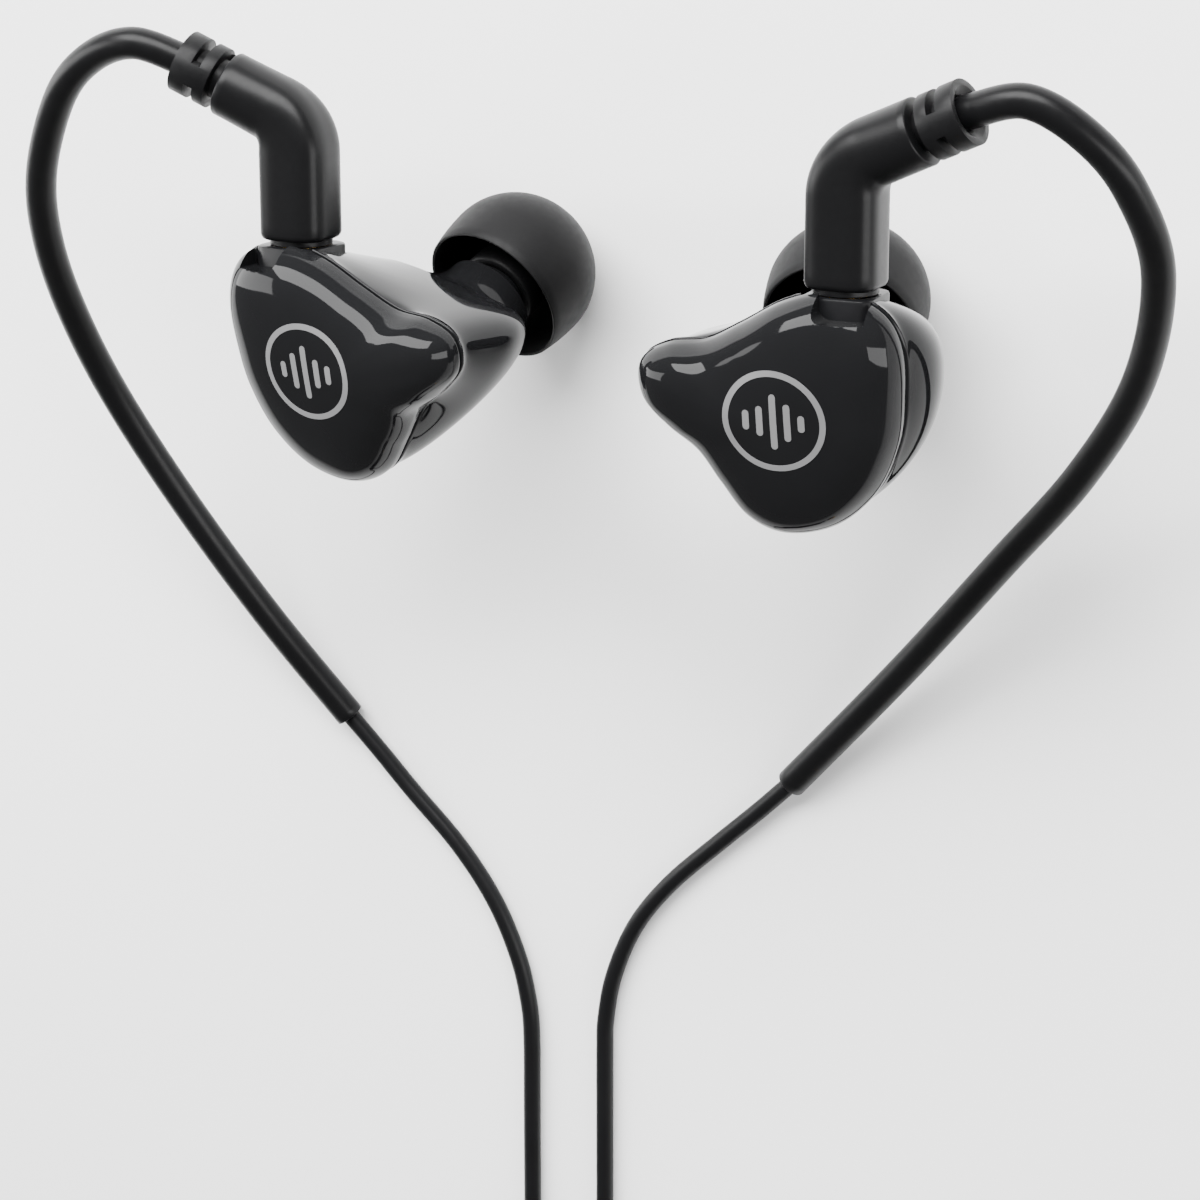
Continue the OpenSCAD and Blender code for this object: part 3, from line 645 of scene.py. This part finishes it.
def add_shell(side):
    """Faceplate and inner shell; returns the plate's surface for the mark."""
    body = side + "_earphone"
    place = ear_matrix(side)
    rows = smooth_rows(FACE_ROWS, 4)
    rings = [face_ring(k, SEAM_N + FACE_H * h) for k, h in rows]
    verts, faces = ring_mesh(put(rings, place))
    plate = new_mesh(side + "_faceplate_skin", verts, faces)
    cutter = ring_mesh(put(boss_rings(0.06, 3, 9), place))
    surface = BVHTree.FromPolygons([Vector(v) for v in verts], faces)
    cut(plate, *cutter)
    cut(plate, *ring_mesh(put(notch_rings(), place)))
    finish_piece(plate, body, side + "_faceplate")
    rings = relax([shell_ring(r) for r in smooth_rows(SHELL_ROWS, ROW_STEPS)],
                  2 * ROW_STEPS, NECK_ROW * ROW_STEPS, 120)
    nozzle = [(3.6, -0.5), (2.7, -0.35), (2.5, -0.1), (2.5, 5.6), (2.35, 5.9),
              (2.2, 6), (1.9, 5.9), (1.9, 1)]
    verts, faces = ring_mesh(put(rings + put(lathe(nozzle, ROUND), TIP), place))
    shell = new_mesh(side + "_inner_shell_skin", verts, faces, angle=60)
    cut(shell, *cutter)
    finish_piece(shell, body, side + "_inner_shell")
    return surface


def add_emblem(side, surface):
    """A thin ring round five bars, laid on the faceplate's crown."""
    place = ear_matrix(side) @ FACE_LEAN
    centre = Vector((3.7, -8, 0))
    up = (place.to_3x3() @ Vector((0, 0, 1))).normalized()

    def on_plate(x, y, lift):
        start = place @ (centre + Vector((x, y, 12)))
        spot = surface.ray_cast(start, -up)[0]
        return spot + up * lift

    def patch(grid, verts, faces):
        """A raised strip over a grid of flat points."""
        rows, cols = len(grid), len(grid[0])
        first = len(verts)
        for lift in (0.03, -0.1):
            verts += [on_plate(x, y, lift) for row in grid for x, y in row]
        under = rows * cols
        for i in range(rows - 1):
            for j in range(cols - 1):
                q = [first + i * cols + j, first + i * cols + j + 1,
                     first + (i + 1) * cols + j + 1, first + (i + 1) * cols + j]
                faces.append(q)
                faces.append([v + under for v in reversed(q)])
        rim = ([i * cols for i in range(rows)]
               + [(rows - 1) * cols + j for j in range(1, cols)]
               + [i * cols + cols - 1 for i in range(rows - 2, -1, -1)]
               + [j for j in range(cols - 2, 0, -1)])
        for a, b in zip(rim, rim[1:] + rim[:1]):
            faces.append((first + a, first + b, first + b + under, first + a + under))

    verts, faces = [], []
    steps = 96
    ring = [[(r * math.cos(2 * math.pi * i / steps), r * math.sin(2 * math.pi * i / steps))
             for r in (3.45, 3.9)] for i in range(steps + 1)]
    patch(ring, verts, faces)
    for i, high in zip(range(-2, 3), (1.3, 2.9, 4.3, 2.3, 1.5)):
        half = high / 2
        bar = []
        for k in range(25):
            y = -half * math.cos(math.pi * k / 24)
            inset = 0.25 - math.sqrt(max(0, 0.0625 - max(0, abs(y) - half + 0.25) ** 2))
            w = 0.25 - 0.97 * inset
            bar.append([(1.05 * i - w, y), (1.05 * i + w, y)])
        patch(bar, verts, faces)
    emblem = new_mesh(side + "_emblem_print", verts, faces)
    finish_piece(emblem, side + "_earphone", side + "_emblem")


# ---------------------------------------------------------------- tip
def add_tip(side):
    """The silicone dome, open at its rim, on a thin inner tube."""
    r, skin, mouth = 6.4, 0.45, 2
    outer = [(r * math.cos(math.radians(t)),
              3.4 + 5.6 * math.sin(math.radians(t)) / math.sin(math.radians(66)))
             for t in range(0, 67, 3)]
    inner = [((r - skin) * math.cos(math.radians(t)),
              3.4 + 4.9 * math.sin(math.radians(t)) / math.sin(math.radians(66)))
             for t in range(60, -1, -4)]
    profile = ([(r - 0.5, 0.05), (r - 0.4, 0), (r - 0.33, 0.06), (r - 0.2, 0.8),
                (r - 0.1, 1.6), (r - 0.03, 2.5)] + outer
               + [(mouth + 0.3, 9), (mouth + 0.1, 8.95), (mouth, 8.75), (mouth, 6.1),
                  (2.55, 6.1), (2.55, 0.7), (2.7, 0.6), (3.1, 0.6), (3.2, 0.68),
                  (3.3, 0.9)] + inner
               + [(r - 0.55, 1.6), (r - 0.65, 0.8), (r - 0.56, 0.06)])
    verts, faces = ring_mesh(put(lathe(profile, 128), ear_matrix(side) @ TIP),
                             closed=True)
    tip = new_mesh(side + "_tip_dome", verts, faces, angle=50)
    finish_piece(tip, side + "_tip", side + "_ear_tip")


# ---------------------------------------------------------------- plug and boss
def soft_square(a, b, m, count=96):
    """A rounded square of half sizes a and b; a higher m is squarer."""
    ring = []
    for j in range(count):
        t = 2 * math.pi * (j + 0.5) / count
        c, s = math.cos(t), math.sin(t)
        ring.append((a * math.copysign(abs(c) ** (2 / m), c),
                     b * math.copysign(abs(s) ** (2 / m), s)))
    return ring


def add_housing(side):
    """The plug's bent housing, from square barrel to round arm, with its collar."""
    bend_r = 3.6
    bend = math.acos(ARM_DIR.y)
    corner = Vector((0, BARREL_H, 0))
    start = corner - Vector((0, bend_r * math.tan(bend / 2), 0))
    way = Vector((ARM_DIR.x, 0, ARM_DIR.z)).normalized()
    path = [(Vector((0, y, 0)), g) for y, g in
            ((0, -0.5), (0.03, -0.3), (0.12, -0.14), (0.3, -0.04), (0.5, 0))]
    path += [(Vector((0, start.y * i / 12, 0)), 0) for i in range(2, 12)]
    straight = len(path)
    for i in range(33):
        a = bend * i / 32
        path.append((start + bend_r * (1 - math.cos(a)) * way
                     + Vector((0, bend_r * math.sin(a), 0)), 0))
    first = bend_r * math.tan(bend / 2)
    for i in range(1, 9):
        s = first + (ARM_L - 0.15 - first) * i / 8
        path.append((corner + s * ARM_DIR, 0))
    path += [(corner + (ARM_L - 0.04) * ARM_DIR, -0.08),
             (corner + ARM_L * ARM_DIR, -0.2)]
    rings = []
    last = len(path) - 1
    for i, (p, grow) in enumerate(path):
        t = smooth((i - straight) / (last - straight))
        a = BARREL_W / 2 * (1 - t) + ARM_D / 2 * t + grow
        b = BARREL_T / 2 * (1 - t) + ARM_D / 2 * t + grow
        ahead, behind = path[min(i + 1, last)][0], path[max(i - 1, 0)][0]
        heading = Vector((0, 1, 0)) if i < straight else (
            ARM_DIR if i > last - 10 else (ahead - behind).normalized())
        across = Vector((0, 0, 1)).cross(heading).normalized()
        up = heading.cross(across)
        rings.append([p + across * x + up * y
                      for x, y in soft_square(a, b, 3.6 - 1.6 * t)])
    verts, faces = ring_mesh(put(rings, plug_matrix(side)))
    housing = new_mesh(side + "_housing_skin", verts, faces)
    collar = [(1.7, -0.4), (2.35, -0.4), (2.4, -0.35), (2.4, 0.05), (2.3, 0.1), (1.7, 0.1)]
    ring = put(put(lathe(collar, 64), Matrix.Rotation(math.radians(-90), 4, "X")),
               plug_matrix(side))
    verts, faces = ring_mesh(ring, closed=True)
    stop = new_mesh(side + "_collar_skin", verts, faces)
    finish_piece(stop, "cable", side + "_plug_housing")
    finish_piece(housing, "cable", side + "_plug_housing")


def add_sleeve(side):
    """The formed tube over the cord, open at its lower end."""
    corner = Vector((0, BARREL_H, 0))
    start = plug_matrix(side) @ (corner + (ARM_L + RELIEF_L) * ARM_DIR)
    inside = plug_matrix(side) @ (corner + (ARM_L + RELIEF_L - 1.2) * ARM_DIR)
    line = open_curve([inside, start, *HOOK_ROUTE[side]], 12)
    rings = tube_rings(line, HOOK_R, 48)
    end_way = (line[-1] - line[-2]).normalized()
    lip = [(HOOK_R - 0.03, 0.03), (HOOK_R - 0.1, 0.06), (0.95, 0.06), (0.87, 0),
           (0.85, -0.4), (0.85, -3)]
    centre = line[-1]
    rim = rings[-1]
    for r, h in lip:
        rings.append([centre + end_way * h + (p - centre).normalized() * r
                      for p in rim])
    verts, faces = ring_mesh(rings)
    sleeve = new_mesh(side + "_hook_sleeve", verts, faces, angle=60)
    finish_piece(sleeve, "cable", side + "_ear_hook")


def add_boss(side):
    """The block in the shell round the socket, with the socket's hole cut through it."""
    rings = boss_rings(0, BOSS_TOP, BOSS_L)
    top = [[Vector((p.x * k, BOSS_TOP + y, p.z * k)) for p in rings[0]]
           for k, y in ((0.80, 0), (0.93, 0), (0.98, -0.06), (1, -0.2))]
    verts, faces = ring_mesh(put(top + rings[1:], ear_matrix(side)))
    boss = new_mesh(side + "_boss_skin", verts, faces)
    hole = put(lathe([(SOCKET_R, -6), (SOCKET_R, 6)], 64),
               ear_matrix(side) @ Matrix.Rotation(math.radians(90), 4, "X"))
    cut(boss, *ring_mesh(hole))
    finish_piece(boss, side + "_earphone", side + "_socket_boss")


# ---------------------------------------------------------------- small cable pieces
def add_jack():
    """Boot, barrel and point of the stereo jack."""
    place = Matrix.Translation(JACK) @ Matrix.Rotation(math.radians(-90), 4, "X")
    boot = [(0, 0), (1.9, 0), (2.1, 0.3), (2.1, 1), (1.5, 1.2), (1.5, 1.8), (2.25, 2),
            (2.25, 3), (1.95, 3.2), (1.95, 3.8), (2.4, 4), (2.4, 5), (2.1, 5.2),
            (2.1, 5.8), (2.55, 6), (2.55, 7.4), (2.7, 9), (0, 9)]
    barrel = [(0, 9), (2.9, 9), (3.4, 9.6), (3.4, 21.6), (3.1, 23.3), (2.7, 24), (0, 24)]
    tip = [(0, 34.3), (1.7, 34.4), (1.75, 34.9), (1.2, 35.7), (1.25, 36), (1.55, 36.5),
           (1.5, 37), (0.5, 38), (0, 38)]
    for name, profile, node in (("boot", boot, "jack_boot"), ("barrel", barrel, "jack_body"),
                                ("point", tip, "jack_tip")):
        rings = lathe([(max(r, 0.02), h) for r, h in rounded(profile)], 64)
        verts, faces = ring_mesh(put(rings, place))
        skin = new_mesh("jack_" + name + "_skin", verts, faces)
        finish_piece(skin, "cable", node)


def add_tie():
    """A band of tape round one side of the coil."""
    inner, outer, low, high, r = 5.3, 18.2, 0.25, 8.5, 1.6
    line = []
    for cx, cz, a0 in ((outer - r, low + r, -90), (outer - r, high - r, 0),
                       (inner + r, high - r, 90), (inner + r, low + r, 180)):
        for i in range(9):
            a = math.radians(a0 + 90 * i / 8)
            line.append((cx + r * math.cos(a), cz + r * math.sin(a), math.cos(a),
                         math.sin(a)))
    rings = []
    for x, z, nx, nz in line:
        section = ((-2.4, 0.16), (-2.5, 0), (-2.4, -0.16), (2.4, -0.16), (2.5, 0),
                   (2.4, 0.16))
        rings.append([COIL + Vector((x + nx * h, y, z + nz * h)) for y, h in section])
    verts, faces = ring_mesh(rings, closed=True)
    finish_piece(new_mesh("tie_band", verts, faces), "cable", "coil_tie")


for side in SIDES:
    plate_surface = add_shell(side)
    add_emblem(side, plate_surface)
    add_tip(side)
    add_housing(side)
    add_sleeve(side)
    add_boss(side)
    soften(side + "_strain_relief", 0.12, "cable")
soften("chin_slider", 0.25, "chin_slider_body")
soften("cable_splitter", 0.3, "cable")
add_jack()
add_tie()

bpy.context.view_layer.update()
